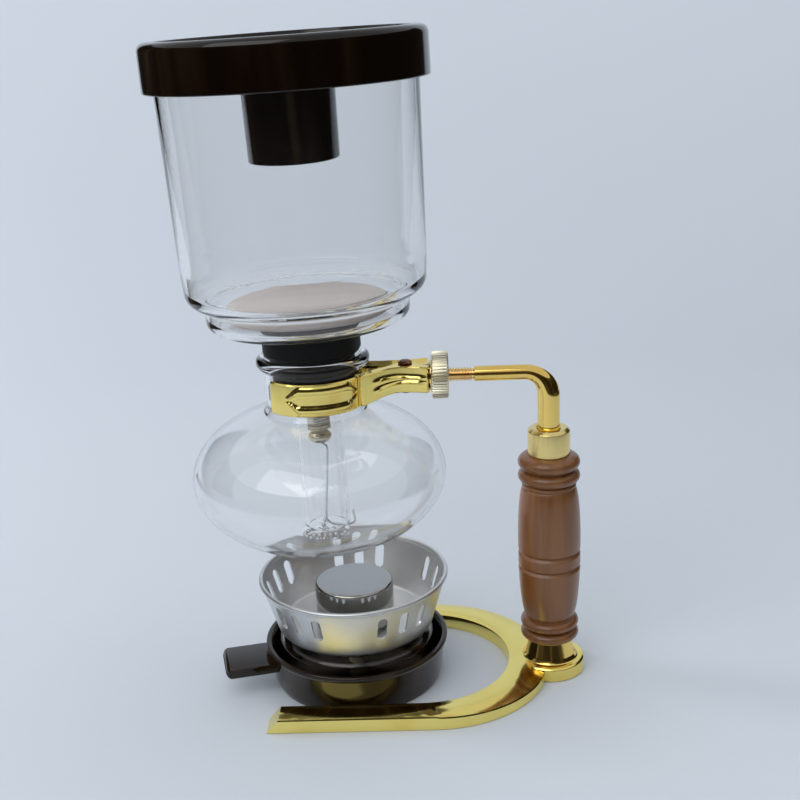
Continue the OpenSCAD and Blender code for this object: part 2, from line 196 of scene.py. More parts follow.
def turned(name, corners, centre, closed=False, sides=128, tilt=(0, 0, 0), steps=4, angle=32):
    """A turned piece: its outline is drawn one edge at a time and spun about the axis."""
    line = [Vector((p.x, 0, p.y)) * MM for p in outline(corners, closed, steps)]
    bpy.ops.object.select_all(action="DESELECT")
    bpy.ops.mesh.primitive_plane_add(size=MM)
    piece = bpy.context.object
    piece.name = name
    bpy.ops.object.mode_set(mode="EDIT")
    bpy.ops.mesh.merge(type="CENTER")
    bpy.ops.transform.translate(value=line[0])
    for start, end in zip(line, line[1:]):
        bpy.ops.mesh.extrude_region_move(TRANSFORM_OT_translate={"value": end - start})
    bpy.ops.mesh.select_all(action="SELECT")
    bpy.ops.mesh.remove_doubles(threshold=1e-7)
    bpy.ops.mesh.spin(steps=sides, angle=math.tau, center=(0, 0, 0), axis=UP)
    bpy.ops.object.mode_set(mode="OBJECT")
    piece.location = centre
    piece.rotation_euler = tilt
    bpy.ops.object.transform_apply(location=True, rotation=True, scale=True)
    finish_mesh(angle)
    return piece


def swept(name, rings, angle=32):
    """A piece drawn through a row of closed rings of points, with a flat cap at each end."""
    bpy.ops.object.select_all(action="DESELECT")
    bpy.ops.mesh.primitive_grid_add(
        x_subdivisions=len(rings[0]), y_subdivisions=len(rings) - 1, size=MM)
    piece = bpy.context.object
    piece.name = name
    places = [point * MM for ring in rings for point in ring + ring[:1]]
    for vertex, place in zip(piece.data.vertices, places):
        vertex.co = place
    bpy.ops.object.mode_set(mode="EDIT")
    bpy.ops.mesh.select_all(action="SELECT")
    bpy.ops.mesh.remove_doubles(threshold=1e-6)
    bpy.ops.mesh.select_all(action="DESELECT")
    bpy.ops.mesh.select_non_manifold()
    bpy.ops.mesh.fill_holes(sides=0)
    bpy.ops.object.mode_set(mode="OBJECT")
    finish_mesh(angle)
    return piece


def wire(name, points, thickness, sides=6, closed=False, smooth=True):
    """A bent wire along points in millimetres."""
    curve = bpy.data.curves.new(name, "CURVE")
    curve.dimensions = "3D"
    curve.bevel_depth = thickness / 2 * MM
    curve.bevel_resolution = sides // 2 - 1
    curve.use_fill_caps = True
    spline = curve.splines.new("NURBS" if smooth else "POLY")
    spline.points.add(len(points) - 1)
    for knot, point in zip(spline.points, points):
        knot.co = (*(Vector(point) * MM), 1)
    spline.order_u = 4
    spline.resolution_u = 4
    spline.use_endpoint_u = not closed
    spline.use_cyclic_u = closed
    piece = bpy.data.objects.new(name, curve)
    bpy.context.scene.collection.objects.link(piece)
    bpy.ops.object.select_all(action="DESELECT")
    piece.select_set(True)
    bpy.context.view_layer.objects.active = piece
    bpy.ops.object.convert(target="MESH")
    piece = bpy.context.object
    bpy.ops.object.shade_smooth_by_angle(angle=math.radians(50))
    return piece


def fit(piece, body, slot, material, *nodes):
    """Gives a piece its material and its body and hides the plain nodes that it stands for; slot is
    not used.
    """
    piece.data.materials.clear()
    piece.data.materials.append(material)
    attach(piece, body)
    if nodes:
        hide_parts(*nodes)
    return piece


def paint(material, *nodes):
    """Gives nodes that are shown as they are their material."""
    for name in nodes:
        node = frame["nodes"][name]
        node.data.materials.clear()
        node.data.materials.append(material)


# -- the camera looks down at the clamp, a little rolled
camera = bpy.data.objects.new("camera", bpy.data.cameras.new("camera"))
bpy.context.scene.collection.objects.link(camera)
bpy.context.scene.camera = camera
camera.data.lens = 55.02
camera.data.clip_start = 0.01
camera_place = Vector((0.02183, -0.41444, 0.24243))
camera_aim = Vector((0.0073, 0, 0.10829))
camera_roll = -0.0436
forward = (camera_aim - camera_place).normalized()
level = forward.cross(UP).normalized()
upright = level.cross(forward)
right = math.cos(camera_roll) * level + math.sin(camera_roll) * upright
top = math.cos(camera_roll) * upright - math.sin(camera_roll) * level
camera.matrix_world = Matrix.Translation(camera_place) @ Matrix(
    (right, top, -forward)).transposed().to_4x4()

# -- the backdrop is one round sheet, flat under the maker and swept up all round
backdrop_paint = Finish("backdrop_paint")
# the wall is painted lighter than the floor: painted light that makes up for the light falling off
# up the sweep
painted_light_wall_share = backdrop_paint.node(
    "SeparateXYZ", None, backdrop_paint.object_place, output=2).above(0.0, 0.5)
backdrop_paint.surface(
    Base_Color=backdrop_paint.blend(
        painted_light_wall_share + backdrop_paint.noise(1.5, 1.0) * 0.2,
        (0.585, 0.63, 0.69), (0.70, 0.745, 0.80)),
    Roughness=0.75)
backdrop = turned(
    "backdrop", [(0, 0), (1300, 0, 450), (1650, 900)], (0, -0.55, 0), sides=96, steps=12)
backdrop.data.flip_normals()
backdrop.data.materials.append(backdrop_paint.material)

# -- even light from above, nearly white
sky = bpy.data.worlds.new("sky")
bpy.context.scene.world = sky
sky.use_nodes = True
sky.node_tree.nodes["Background"].inputs["Color"].default_value = (0.95, 0.975, 1.0, 1)
sky.node_tree.nodes["Background"].inputs["Strength"].default_value = 0.62


def soft_light(name, place, aim, width, height, power):
    """An area light that faces a point; sizes in metres, power in watts."""
    lamp = bpy.data.lights.new(name, "AREA")
    lamp.shape = "RECTANGLE"
    lamp.size, lamp.size_y = width, height
    lamp.energy = power
    light = bpy.data.objects.new(name, lamp)
    bpy.context.scene.collection.objects.link(light)
    light.location = place
    light.rotation_euler = (Vector(place) - Vector(aim)).to_track_quat("Z", "Y").to_euler()
    return light


soft_light("key_light", (-0.5, -0.75, 0.95), (0, 0, 0.1), 1.1, 1.1, 5.8)
low_light = soft_light("low_light", (-1.0, 0.3, 0.5), (0, 0, 0.05), 0.3, 0.3, 3.6)
top_light = soft_light("top_light", (0.1, 0.1, 1.2), (0, 0, 0), 0.5, 0.5, 1.6)
low_light.visible_glossy = top_light.visible_glossy = False

# -- the dark room round the front and sides, seen only by gloss and through the glass
room_paint = Finish("room_paint")
room_paint.surface(
    Base_Color=room_paint.blend(
        room_paint.noise(2.6, 2.0, stretch=(1, 1, 0.3)).above(0.52, 0.68),
        (0.010, 0.006, 0.003), (0.15, 0.10, 0.05)),
    Roughness=0.9)
room = turned("dark_room", [(430, 2), (820, 6, 150), (930, 650)], (0, 0, 0), sides=96)
bpy.ops.object.mode_set(mode="EDIT")
bpy.ops.mesh.select_all(action="DESELECT")
bpy.ops.object.mode_set(mode="OBJECT")
GAP_HALF, GAP_SPREAD = 0.15, 0.45  # the room is open behind the maker
for vertex in room.data.vertices:
    vertex.select = vertex.co.y > 0 and abs(vertex.co.x) < GAP_SPREAD * vertex.co.y + GAP_HALF
bpy.ops.object.mode_set(mode="EDIT")
bpy.ops.mesh.delete(type="VERT")
bpy.ops.object.mode_set(mode="OBJECT")
room.data.materials.append(room_paint.material)
room.visible_camera = room.visible_diffuse = room.visible_shadow = False

# ---------- Base ----------
# A flat horseshoe, cast and plated in polished yellow gold. Its arms are open to the left for the
# lamp, its top falls away along the outside of the bend, and a round pad carries the post.

cups = (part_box("lower_bowl")[0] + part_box("lower_bowl")[1]) / 2
cups_x = cups.x / MM
post_x = (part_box("grip")[0].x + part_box("grip")[1].x) / 2 / MM
lamp_x = (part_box("wind_guard")[0].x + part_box("wind_guard")[1].x) / 2 / MM
BASE_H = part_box("stand_base")[1].z / MM
BASE_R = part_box("stand_base")[1].y / MM
BORE_R = 32.8


def plated(name, colour, shade, shine, cloud=45.0, grain=0.012):
    """Plated metal: a cloudy polish, hair-fine rubbing marks and a little tarnish in patches."""
    gold = Finish(name)
    patches = gold.noise(cloud, 3.0)
    rubbed = gold.noise(900.0, 1.0, stretch=(1, 1, 0.08))
    return gold.surface(
        Base_Color=gold.blend(patches.above(0.42, 0.75) * 0.55, colour, shade),
        Metallic=1.0,
        Roughness=patches * 0.07 + rubbed * 0.05 + shine,
        Normal=gold.bump(rubbed + patches * 2.0, grain * MM))


yellow_gold = plated("yellow_gold", (0.99, 0.83, 0.26), (0.92, 0.67, 0.15), 0.06)
deep_gold = plated("deep_gold", (0.95, 0.69, 0.20), (0.86, 0.51, 0.11), 0.03, 60.0, 0.006)
satin_gold = plated("satin_gold", (0.93, 0.80, 0.44), (0.90, 0.72, 0.33), 0.2, 70.0, 0.02)


def horseshoe_section(inner, outer, fall, width):
    """The bar's section between its inner and outer walls, with a top that falls to the outside."""
    across = outer - inner
    ledge = across.normalized()
    high = Vector((0, 0, BASE_H))
    edge = 1.0
    crease = outer - ledge * max(width, edge)
    points = [
        inner, outer - ledge * 0.3, outer + UP * 0.3, outer + UP * (BASE_H - fall - edge * 0.7),
        outer - ledge * edge * 0.3 + UP * (BASE_H - fall - edge * 0.2),
        outer - ledge * edge + UP * (BASE_H - fall), crease + high, inner + ledge * edge + high,
        inner + ledge * edge * 0.3 + UP * (BASE_H - edge * 0.25), inner + UP * (BASE_H - edge)]
    return points


base_rings = []
bore_x = cups_x + 34.5
ring_x = cups_x + 39.5
tip_x = cups_x - 20.5
ARM_STEPS, BEND_STEPS, BEVEL_STEPS = 12, 40, 26
for side in (-1, 1):
    straight = []
    for i in range(ARM_STEPS + 1):
        along = i / ARM_STEPS
        inner = Vector((tip_x + (bore_x - tip_x) * along, side * BORE_R, 0))
        outer = Vector((tip_x + (ring_x - tip_x) * along, side * BASE_R, 0))
        ring = horseshoe_section(inner, outer, 0, 0)
        if i == 0:
            ring = [p + Vector((max(0, p.z - 0.4) * 0.9, 0, 0)) for p in ring]
        straight.append(ring)
    bend = []
    for i in range(1, BEND_STEPS + 1):
        angle = math.radians(side * 90 * (1 - i / BEND_STEPS))
        spoke = Vector((math.cos(angle), math.sin(angle), 0))
        share = min(1, i / BEVEL_STEPS)
        inner = Vector((bore_x, 0, 0)) + spoke * BORE_R
        outer = Vector((ring_x, 0, 0)) + spoke * BASE_R
        bend.append(horseshoe_section(inner, outer, 0.25 + 1.0 * share, 1.4 + 5.0 * share))
    half = straight + bend
    base_rings = base_rings + half if side < 0 else base_rings + half[::-1][1:]
base = swept("horseshoe_base", base_rings, 24)
fit(base, "stand", "gold_plate", yellow_gold, "stand_base")

pad = turned("post_pad", [
    (0, 0.05), (12.6, 0.05), (12.95, 0.4), (12.95, BASE_H - 0.7, 0.5), (12.2, BASE_H - 0.05, 0.4),
    (0, BASE_H - 0.05)], (post_x * MM, 0, 0))
fit(pad, "stand", "gold_plate", yellow_gold)
paint(satin_gold, "base_washer", "base_nut")

# ---------- Cone foot ----------
# A short cone, highly polished, between the base and the grip. It is clamped by the tie bolt and
# its foot flows into the base in a hollow curve.

foot = turned("cone_foot", [
    (2.6, 5.4), (10.6, 5.4), (10.1, 5.6, 0.8), (9.3, 6.9, 1.6), (7.5, 13.0), (2.6, 13.0)],
    (post_x * MM, 0, 0), closed=True)
fit(foot, "stand", "gold_plate", deep_gold, "post_foot")

# ---------- Grip ----------
# A turned handle in satin brown lacquer. Two rounded discs close it off at each end, and two
# grooves frame a narrow band at its middle.

GRIP_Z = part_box("grip")[0].z / MM
GRIP_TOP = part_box("grip")[1].z / MM
GRIP_R = 11.5
low_z, high_z, middle_z = GRIP_Z + 9.3, GRIP_TOP - 12.4, GRIP_Z + 38
grip_corners = [(2.6, GRIP_Z), (8.2, GRIP_Z)]
grip_corners += ellipse(2.9, 2.2, GRIP_Z + 2.3, -78, 78, 12, at=7.85)
grip_corners += ellipse(2.9, 2.2, GRIP_Z + 6.8, -78, 70, 12, at=7.85)
grip_corners += [(8.75, low_z - 0.1, 0.3)]
grip_corners += ellipse(GRIP_R - 8.6, middle_z - low_z, middle_z, -78, -22, 14, at=8.6)
for groove_z in (GRIP_Z + 29.9, GRIP_Z + 35.7):
    grip_corners += [(GRIP_R - 0.06, groove_z - 1.0, 0.4), (GRIP_R - 1.1, groove_z, 0.35),
                     (GRIP_R - 0.04, groove_z + 1.0, 0.4)]
grip_corners += ellipse(GRIP_R - 9.4, high_z - middle_z - 2, middle_z + 2, 4, 82, 16, at=9.4)
grip_corners += [(9.5, high_z + 0.1, 0.3), (10.05, high_z + 0.8, 0.5), (9.4, high_z + 1.5, 0.3)]
grip_corners += ellipse(2.95, 2.45, GRIP_TOP - 8.2, -78, 78, 12, at=8.3)
grip_corners += ellipse(2.95, 2.6, GRIP_TOP - 2.95, -78, 72, 12, at=8.3)
grip_corners += [(8.4, GRIP_TOP), (2.6, GRIP_TOP)]

lacquer = Finish("brown_lacquer")
streaks = lacquer.noise(260.0, 4.0, stretch=(1, 1, 0.045), centre=(post_x * MM, 0, 0))
pores = lacquer.noise(1900.0, 2.0, stretch=(1, 1, 0.05), centre=(post_x * MM, 0, 0))
mottle = lacquer.noise(70.0, 2.0)
lacquer.surface(
    Base_Color=lacquer.blend(
        streaks.above(0.3, 0.7) * 0.7 + mottle * 0.25,
        (0.120, 0.040, 0.008), (0.215, 0.085, 0.020)),
    Roughness=streaks * 0.1 + mottle * 0.08 + 0.27,
    Specular_IOR_Level=0.5, Coat_Weight=0.5, Coat_Roughness=0.2,
    Normal=lacquer.bump(pores + streaks * 0.6, 0.012 * MM))
grip = turned("turned_grip", grip_corners, (post_x * MM, 0, 0), closed=True, sides=128)
fit(grip, "stand", "brown_handle", lacquer.material, "grip")

# ---------- Collar ----------
# A plain collar in satin gold on top of the grip, with a bright chamfer round its top and a small
# fillet where the rod enters.

COLLAR_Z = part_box("top_collar")[0].z / MM
COLLAR_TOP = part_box("top_collar")[1].z / MM
COLLAR_R = 7.6
brushed_gold = Finish("brushed_gold")
lines = brushed_gold.noise(1500.0, 2.0, stretch=(1, 1, 0.04), centre=(post_x * MM, 0, 0))
haze = brushed_gold.noise(120.0, 2.0)
brushed_gold.surface(
    Base_Color=brushed_gold.blend(haze, (0.95, 0.79, 0.36), (0.86, 0.64, 0.22)), Metallic=1.0,
    Roughness=lines * 0.16 + 0.16, Normal=brushed_gold.bump(lines, 0.01 * MM))
collar = turned("grip_collar", [
    (4.1, COLLAR_Z + 3.7), (4.1, COLLAR_TOP - 0.6, 0.3), (4.5, COLLAR_TOP - 0.25, 0.2),
    (5.4, COLLAR_TOP, 0.2), (COLLAR_R - 1.2, COLLAR_TOP, 0.2), (COLLAR_R, COLLAR_TOP - 1.1, 0.3),
    (COLLAR_R, COLLAR_Z + 0.3, 0.2), (COLLAR_R - 0.3, COLLAR_Z), (2.6, COLLAR_Z),
    (2.6, COLLAR_Z + 3.7)], (post_x * MM, 0, 0), closed=True)
fit(collar, "stand", "gold_satin", brushed_gold.material, "top_collar")

# ---------- Rod ----------
# One polished rod, bent over at the top. It draws down from the upright to the level run, ends in
# the screw that the nut runs on, and its flattened eye is riveted between the jaws.

SCREW_Z = 117.2
ROD_R, ROD_END_R = 4.0, 2.7
BEND_R = 8.5
THREAD_R, THREAD_ROOT = 2.6, 1.95
PITCH = 1.0
THREAD_FROM, THREAD_TO = cups_x + 37, cups_x + 56.5


def round_ring(middle, along, radius, sides=32):
    """A ring of points round a rod that lies in the XZ plane."""
    across = Vector((0, 1, 0))
    rise = along.cross(across).normalized()
    angles = [math.tau * i / sides for i in range(sides)]
    return [middle + (across * math.cos(a) + rise * math.sin(a)) * radius for a in angles]


rod_rings = [round_ring(Vector((post_x, 0, z)), UP, ROD_R)
             for z in (COLLAR_Z + 4, SCREW_Z - BEND_R - 6, SCREW_Z - BEND_R)]
ROD_STEPS = 24
for i in range(1, ROD_STEPS + 1):
    angle = math.pi / 2 * i / ROD_STEPS
    middle = Vector((post_x - BEND_R + BEND_R * math.cos(angle), 0,
                     SCREW_Z - BEND_R + BEND_R * math.sin(angle)))
    along = Vector((-math.sin(angle), 0, math.cos(angle)))
    radius = ROD_END_R + (ROD_R - ROD_END_R) * (1 + math.cos(angle * 2)) / 2
    rod_rings.append(round_ring(middle, along, radius))
back = Vector((-1, 0, 0))
for x, radius in ((post_x - 14, ROD_END_R), (THREAD_TO + 0.4, ROD_END_R), (THREAD_TO, THREAD_ROOT)):
    rod_rings.append(round_ring(Vector((x, 0, SCREW_Z)), back, radius))
rod = swept("bent_rod", rod_rings, 40)
fit(rod, "stand", "gold_rod", deep_gold, "support_arm")

copper_gold = plated("copper_gold", (0.95, 0.76, 0.40), (0.84, 0.50, 0.24), 0.1, 300.0)
thread_corners = [(0, THREAD_FROM)]
for i in range(int((THREAD_TO - THREAD_FROM) / PITCH)):
    start = THREAD_FROM + i * PITCH
    thread_corners += [(THREAD_ROOT, start + 0.08), (THREAD_R, start + 0.42),
                       (THREAD_R, start + 0.58), (THREAD_ROOT, start + 0.92)]
thread_corners += [(THREAD_ROOT, THREAD_TO + 0.1), (0, THREAD_TO + 0.1)]
screw = turned("clamp_screw", thread_corners, (0, 0, SCREW_Z * MM), sides=64,
               tilt=(0, math.pi / 2, 0), steps=1, angle=20)
fit(screw, "stand", "gold_rod", copper_gold)

RIVET_AT = 32.5
RIVET_X = cups_x + RIVET_AT
eye = turned("rod_eye", [
    (1.55, -1.9), (3.0, -1.9, 0.4), (3.0, 1.9, 0.4), (1.55, 1.9)],
    (RIVET_X * MM, 0, SCREW_Z * MM), closed=True, sides=64)
fit(eye, "stand", "gold_rod", copper_gold)
shank = swept("eye_shank", [
    round_ring(Vector((x, 0, SCREW_Z)), Vector((1, 0, 0)), r)
    for x, r in ((RIVET_X + 2.4, 1.8), (RIVET_X + 3.6, 2.1), (THREAD_FROM + 0.5, 2.1))], 40)
fit(shank, "stand", "gold_rod", copper_gold)

# ---------- Jaws ----------
# Two jaws pressed from one thickness of plated sheet. Each holds one side of the bulb's neck, with
# a long panel pressed in its band, then folds out into an arm with two ribs. The arm's edges are
# turned in as flanges, which overlap at the rivet.

JAW_R, SHEET = 17.6, 1.2
BAND_Z, BAND_TOP = 109.0, 120.5
ARM_HALF = 4.7
JAW_TIP, JAW_LEAVE = 222, 334
EAR_HALF = 3.4
JAW_ROWS = 24
jaw_gold = plated("jaw_gold", (0.97, 0.78, 0.24), (0.88, 0.60, 0.13), 0.07, 90.0)


def smooth(low, high, value):
    """0 below low, 1 above high, smooth between."""
    t = max(0.0, min(1.0, (value - low) / (high - low)))
    return t * t * (3 - 2 * t)


def jaw_path(steps=96):
    """Middle line of the sheet seen from above, each point with its outward direction, from the
    tip round the neck and along the arm; x counts from the cups' axis and y points outward."""
    middle_r = JAW_R + SHEET / 2
    line = []
    for i in range(steps + 1):
        angle = math.radians(JAW_TIP + (JAW_LEAVE - JAW_TIP) * i / steps)
        line.append(Vector((middle_r * math.cos(angle), middle_r * math.sin(angle), 0)))
    start = line[-1]
    knots = [(17.4, -8.6), (19.0, -8.3), (21.0, -7.2), (24.5, -5.4), (28.5, -4.3), (33, -4.15),
             (37, -4.9), (40.4, -6.0)]
    for (x0, y0), (x1, y1) in zip([start[:2]] + knots, knots):
        for i in range(1, 5):
            line.append(Vector((x0 + (x1 - x0) * i / 4, y0 + (y1 - y0) * i / 4, 0)))
    for _ in range(2):
        line = [line[0]] + [
            (a + b * 2 + c) / 4 for a, b, c in zip(line, line[1:], line[2:])] + [line[-1]]
    return line


def pressed(along, height):
    """How far the sheet is pressed out, at a place along the jaw and a height from 0 to 1."""
    band = smooth(0.11, 0.14, along) * (1 - smooth(0.53, 0.56, along))
    off_middle = abs(height - 0.5) * 2
    end = min(smooth(0.11, 0.20, along), 1 - smooth(0.47, 0.56, along))
    first = 1 - smooth(0.62 * end + 0.1, 0.62 * end + 0.2, off_middle)
    second = 1 - smooth(0.34 * end + 0.02, 0.34 * end + 0.12, off_middle)
    spread = 0.15 - 0.07 * smooth(0.68, 0.95, along)
    ribs = sum(math.exp(-((height - 0.5 - c * spread) / 0.055) ** 2) for c in (-1, 1))
    arm = smooth(0.67, 0.71, along) * (1 - smooth(0.95, 0.99, along))
    fold = math.exp(-((along - 0.605) / 0.016) ** 2) - math.exp(-((along - 0.572) / 0.008) ** 2)
    return 0.38 * band * first - 0.42 * band * second + 0.5 * ribs * arm + 0.5 * fold


def jaw(name, side, flange_z):
    """One jaw. side is -1 at the front, and flange_z how far its flanges lie inside the edges."""
    line = jaw_path()
    length = [0.0]
    for a, b in zip(line, line[1:]):
        length.append(length[-1] + (b - a).length)
    rings = []
    for i, place in enumerate(line):
        along = length[i] / length[-1]
        ahead = (line[min(i + 1, len(line) - 1)] - line[max(i - 1, 0)]).normalized()
        out = Vector((ahead.y, -ahead.x, 0))
        share = smooth(14, 31, place.x)
        low = BAND_Z + (SCREW_Z - ARM_HALF - BAND_Z) * share
        high = BAND_TOP + (SCREW_Z + ARM_HALF - BAND_TOP) * share
        flange = 1.5 * smooth(15, 19, place.x) * (along > 0.5) + 5.0 * math.exp(
            -((place.x - RIVET_AT) / EAR_HALF) ** 2) * (along > 0.5)
        face, back_face = [], []
        for row in range(JAW_ROWS + 1):
            height = row / JAW_ROWS
            z = low + (high - low) * height
            rounding = 0.35 * (smooth(0.93, 1.0, abs(height - 0.5) * 2))
            push = pressed(along, height) - rounding
            face.append(place + out * (SHEET / 2 + push) + UP * z)
            back_face.append(place + out * (-SHEET / 2 + 0.1) + UP * (
                z + (SHEET * 0.8 if row == 0 else -SHEET * 0.8 if row == JAW_ROWS else 0)
                * (flange > 0.05)))
        inset = flange_z * (flange > 0.05)
        lip_low, lip_high = low + inset, high - inset
        reach = max(flange, 0.02) + SHEET / 2
        ring = [place - out * reach + UP * (lip_low + SHEET * 0.8),
                place - out * reach + UP * lip_low]
        ring += face
        ring += [place - out * reach + UP * lip_high,
                 place - out * reach + UP * (lip_high - SHEET * 0.8)]
        ring += back_face[::-1]
        rings.append([Vector((cups_x + p.x, -side * p.y, p.z)) for p in ring])
    return swept(name, rings, 28)


for name, body, node, side, flange_z in (
        ("front_jaw", "front_jaw", "jaw_front", -1, 0.0),
        ("back_jaw", "back_jaw", "jaw_back", 1, SHEET + 0.1)):
    fit(jaw(name, side, flange_z), body, "gold_plate", jaw_gold, node)

# ---------- Rivet ----------
# A dark bronze rivet with a low domed head above and below the flanges.

bronze = Finish("dark_bronze")
worn = bronze.noise(700.0, 3.0)
bronze.surface(
    Base_Color=bronze.blend(worn.above(0.45, 0.8), (0.16, 0.07, 0.03), (0.42, 0.24, 0.1)),
    Metallic=0.9, Roughness=worn * 0.3 + 0.25, Normal=bronze.bump(worn, 0.03 * MM))
rivet = turned("jaw_rivet_pin", [
    (0, -5.9), (1.6, -5.9, 0.4), (2.6, -5.0, 0.2), (1.5, -4.85), (1.5, 4.85), (2.6, 4.95, 0.2),
    (2.5, 5.3, 0.3), (1.6, 5.85, 0.6), (0, 5.9)],
    (RIVET_X * MM, 0, SCREW_Z * MM), sides=48)
fit(rivet, "stand", "bronze", bronze.material, "jaw_rivet")

# ---------- Cone and nut ----------
# The nut is pale gold with a straight knurl and drives a turned cone between the jaws' tails.

NUT_X = cups_x + 41.6
cone = turned("spreader_cone", [
    (2.6, -4.0), (3.7, -4.0, 0.3), (5.45, -0.3, 0.3), (5.45, -0.1), (2.6, -0.1)],
    (NUT_X * MM, 0, SCREW_Z * MM), closed=True, sides=64, tilt=(0, math.pi / 2, 0))
fit(cone, "cone", "gold_satin", copper_gold, "cone_washer")

pale_gold = plated("pale_gold", (1.0, 0.95, 0.78), (0.96, 0.86, 0.60), 0.26, 200.0, 0.03)
KNURLS, KNURL_WAVE = 48, (0.0, 0.3, 1.0, 1.0, 1.0, 0.3)
NUT_R, NUT_W = 8.5, 6.2
nut_rings = []
for x, drop, depth in ((0, 0.9, 0), (0.25, 0.35, 0.35), (0.6, 0, 1), (NUT_W - 0.6, 0, 1),
                       (NUT_W - 0.25, 0.35, 0.35), (NUT_W, 0.9, 0)):
    ring = []
    for i in range(KNURLS * len(KNURL_WAVE)):
        wave = KNURL_WAVE[i % len(KNURL_WAVE)]
        radius = NUT_R - drop - 0.55 * depth * (1 - wave)
        angle = math.tau * i / (KNURLS * len(KNURL_WAVE))
        ring.append(Vector((
            NUT_X + x, radius * math.cos(angle), SCREW_Z + radius * math.sin(angle))))
    nut_rings.append(ring)
nut_rings.append([Vector((NUT_X + NUT_W, p.y * 0.42, SCREW_Z + (p.z - SCREW_Z) * 0.42))
                  for p in nut_rings[-1]])
nut_rings.append([p - Vector((0.5, p.y * 0.14, (p.z - SCREW_Z) * 0.14)) for p in nut_rings[-1]])
nut = swept("knurled_clamp_nut", nut_rings, 24)
fit(nut, "nut", "gold_nut", pale_gold, "knurled_nut")

# ---------- Bulb ----------
# The lower bowl is blown from clear heat-resistant glass: a squat bulb with its foot pushed in, a
# straight neck in the clamp and a thick rolled bead at the mouth.

BULB_R, BULB_HALF, BULB_Z = 45.8, 27.0, 82.0
NECK_R, GLASS = 17.3, 1.5
BEAD_Z, BEAD_R = 124.8, 2.2


def clear_glass(name, tint, ripple=0.02):
    """Blown glass: clear all through, with faint ripples and a trace of film on the surface."""
    glass = Finish(name)
    ripples = glass.noise(28.0, 2.0, stretch=(1, 1, 0.6))
    film = glass.noise(160.0, 3.0)
    return glass.surface(
        Base_Color=tint, Roughness=film.above(0.55, 0.9) * 0.03, IOR=1.47,
        Transmission_Weight=1.0, Specular_IOR_Level=0.5,
        Normal=glass.bump(ripples, ripple * MM))


bowl_glass = clear_glass("bowl_glass", (1.0, 1.0, 1.0))


def bulb_line(inset):
    """The bulb's side, drawn in by inset, from the pushed-in foot to the neck."""
    start = -68
    end = math.degrees(math.acos((NECK_R + 1.2 - inset) / (BULB_R - inset)))
    side = ellipse(BULB_R - inset, BULB_HALF - inset, BULB_Z, start, end, 60)
    foot = [(0, BULB_Z - BULB_HALF + 1.7 + inset), (5, BULB_Z - BULB_HALF + 1.55 + inset),
            (10, BULB_Z - BULB_HALF + 1.15 + inset, 4)]
    return foot + side + [(NECK_R - inset, side[-1][1] + 2.2, 2.0)]


bulb_corners = bulb_line(0)
bulb_corners += [(NECK_R, BEAD_Z - 2.0, 0.6)]
bulb_corners += ellipse(BEAD_R, BEAD_R, BEAD_Z, -60, 150, 16, at=NECK_R + 0.6)
bulb_corners += [(NECK_R - GLASS, BEAD_Z + 0.8, 0.8), (NECK_R - GLASS, BEAD_Z - 4)]
bulb_corners += bulb_line(GLASS)[::-1]
bulb = turned("glass_bulb", bulb_corners, (cups_x * MM, 0, 0), sides=160)
fit(bulb, "stand", "clear_glass", bowl_glass, "lower_bowl")
bulb.visible_shadow = False

# ---------- Upper bowl ----------
# A straight-sided glass with a stepped-in well at its foot and a long tube below. It leans a
# little in the soft plug, and everything fixed to it leans with it.

PLUG_Z = 127.4
lean = next(j["axis"] for j in frame["joints"] if j["name"] == "upper_bowl_lift")
pivot = Vector((cups_x * MM, 0, PLUG_Z * MM))
leaning = Matrix.Translation(pivot) @ Matrix.Rotation(
    math.atan2(lean[0], lean[2]), 4, "Y") @ Matrix.Translation(-pivot)


def seat(piece):
    """Leans a piece with the upper bowl."""
    bpy.ops.object.select_all(action="DESELECT")
    piece.select_set(True)
    bpy.context.view_layer.objects.active = piece
    piece.matrix_world = leaning
    bpy.ops.object.transform_apply(location=True, rotation=True, scale=True)
    return piece


FLOOR_Z, WELL_R, BOWL_R, BOWL_TOP = 140.4, 35.6, 44.0, 229.0
STEM_R, STEM_Z = 8.4, 61.0


def bowl_line(inset):
    """The bowl's side, drawn in by inset, from the tube's top to the mouth."""
    return [(STEM_R - inset, FLOOR_Z - 1.6 + inset, 3.0),
            (WELL_R - inset, FLOOR_Z - 1.6 + inset, 3.6),
            (WELL_R - inset, FLOOR_Z + 6.4 + inset, 1.6),
            (BOWL_R - 2.3 - inset, FLOOR_Z + 9.2 + inset, 5.0),
            (BOWL_R - 1.6 - inset, FLOOR_Z + 20, 8.0), (BOWL_R - inset, BOWL_TOP)]


upper_corners = [(STEM_R - 0.5, STEM_Z), (STEM_R, STEM_Z + 0.7, 0.4)]
upper_corners += bowl_line(0)
upper_corners += ellipse(GLASS / 2, 0.9, BOWL_TOP, 15, 165, 6, at=BOWL_R - GLASS / 2)
upper_corners += bowl_line(GLASS)[::-1]
upper_corners += [(STEM_R - 1.4, STEM_Z + 0.7, 0.4), (STEM_R - 0.9, STEM_Z)]
upper = seat(turned("glass_upper_bowl", upper_corners, (cups_x * MM, 0, 0), closed=True, sides=160,
                    steps=7))
fit(upper, "upper", "clear_glass", bowl_glass, "upper_bowl")
upper.visible_shadow = False

# ---------- Plug ----------
# A black rubber plug on the bowl's tube. Its lower half goes into the bulb's neck and its thicker
# upper half carries the bowl.

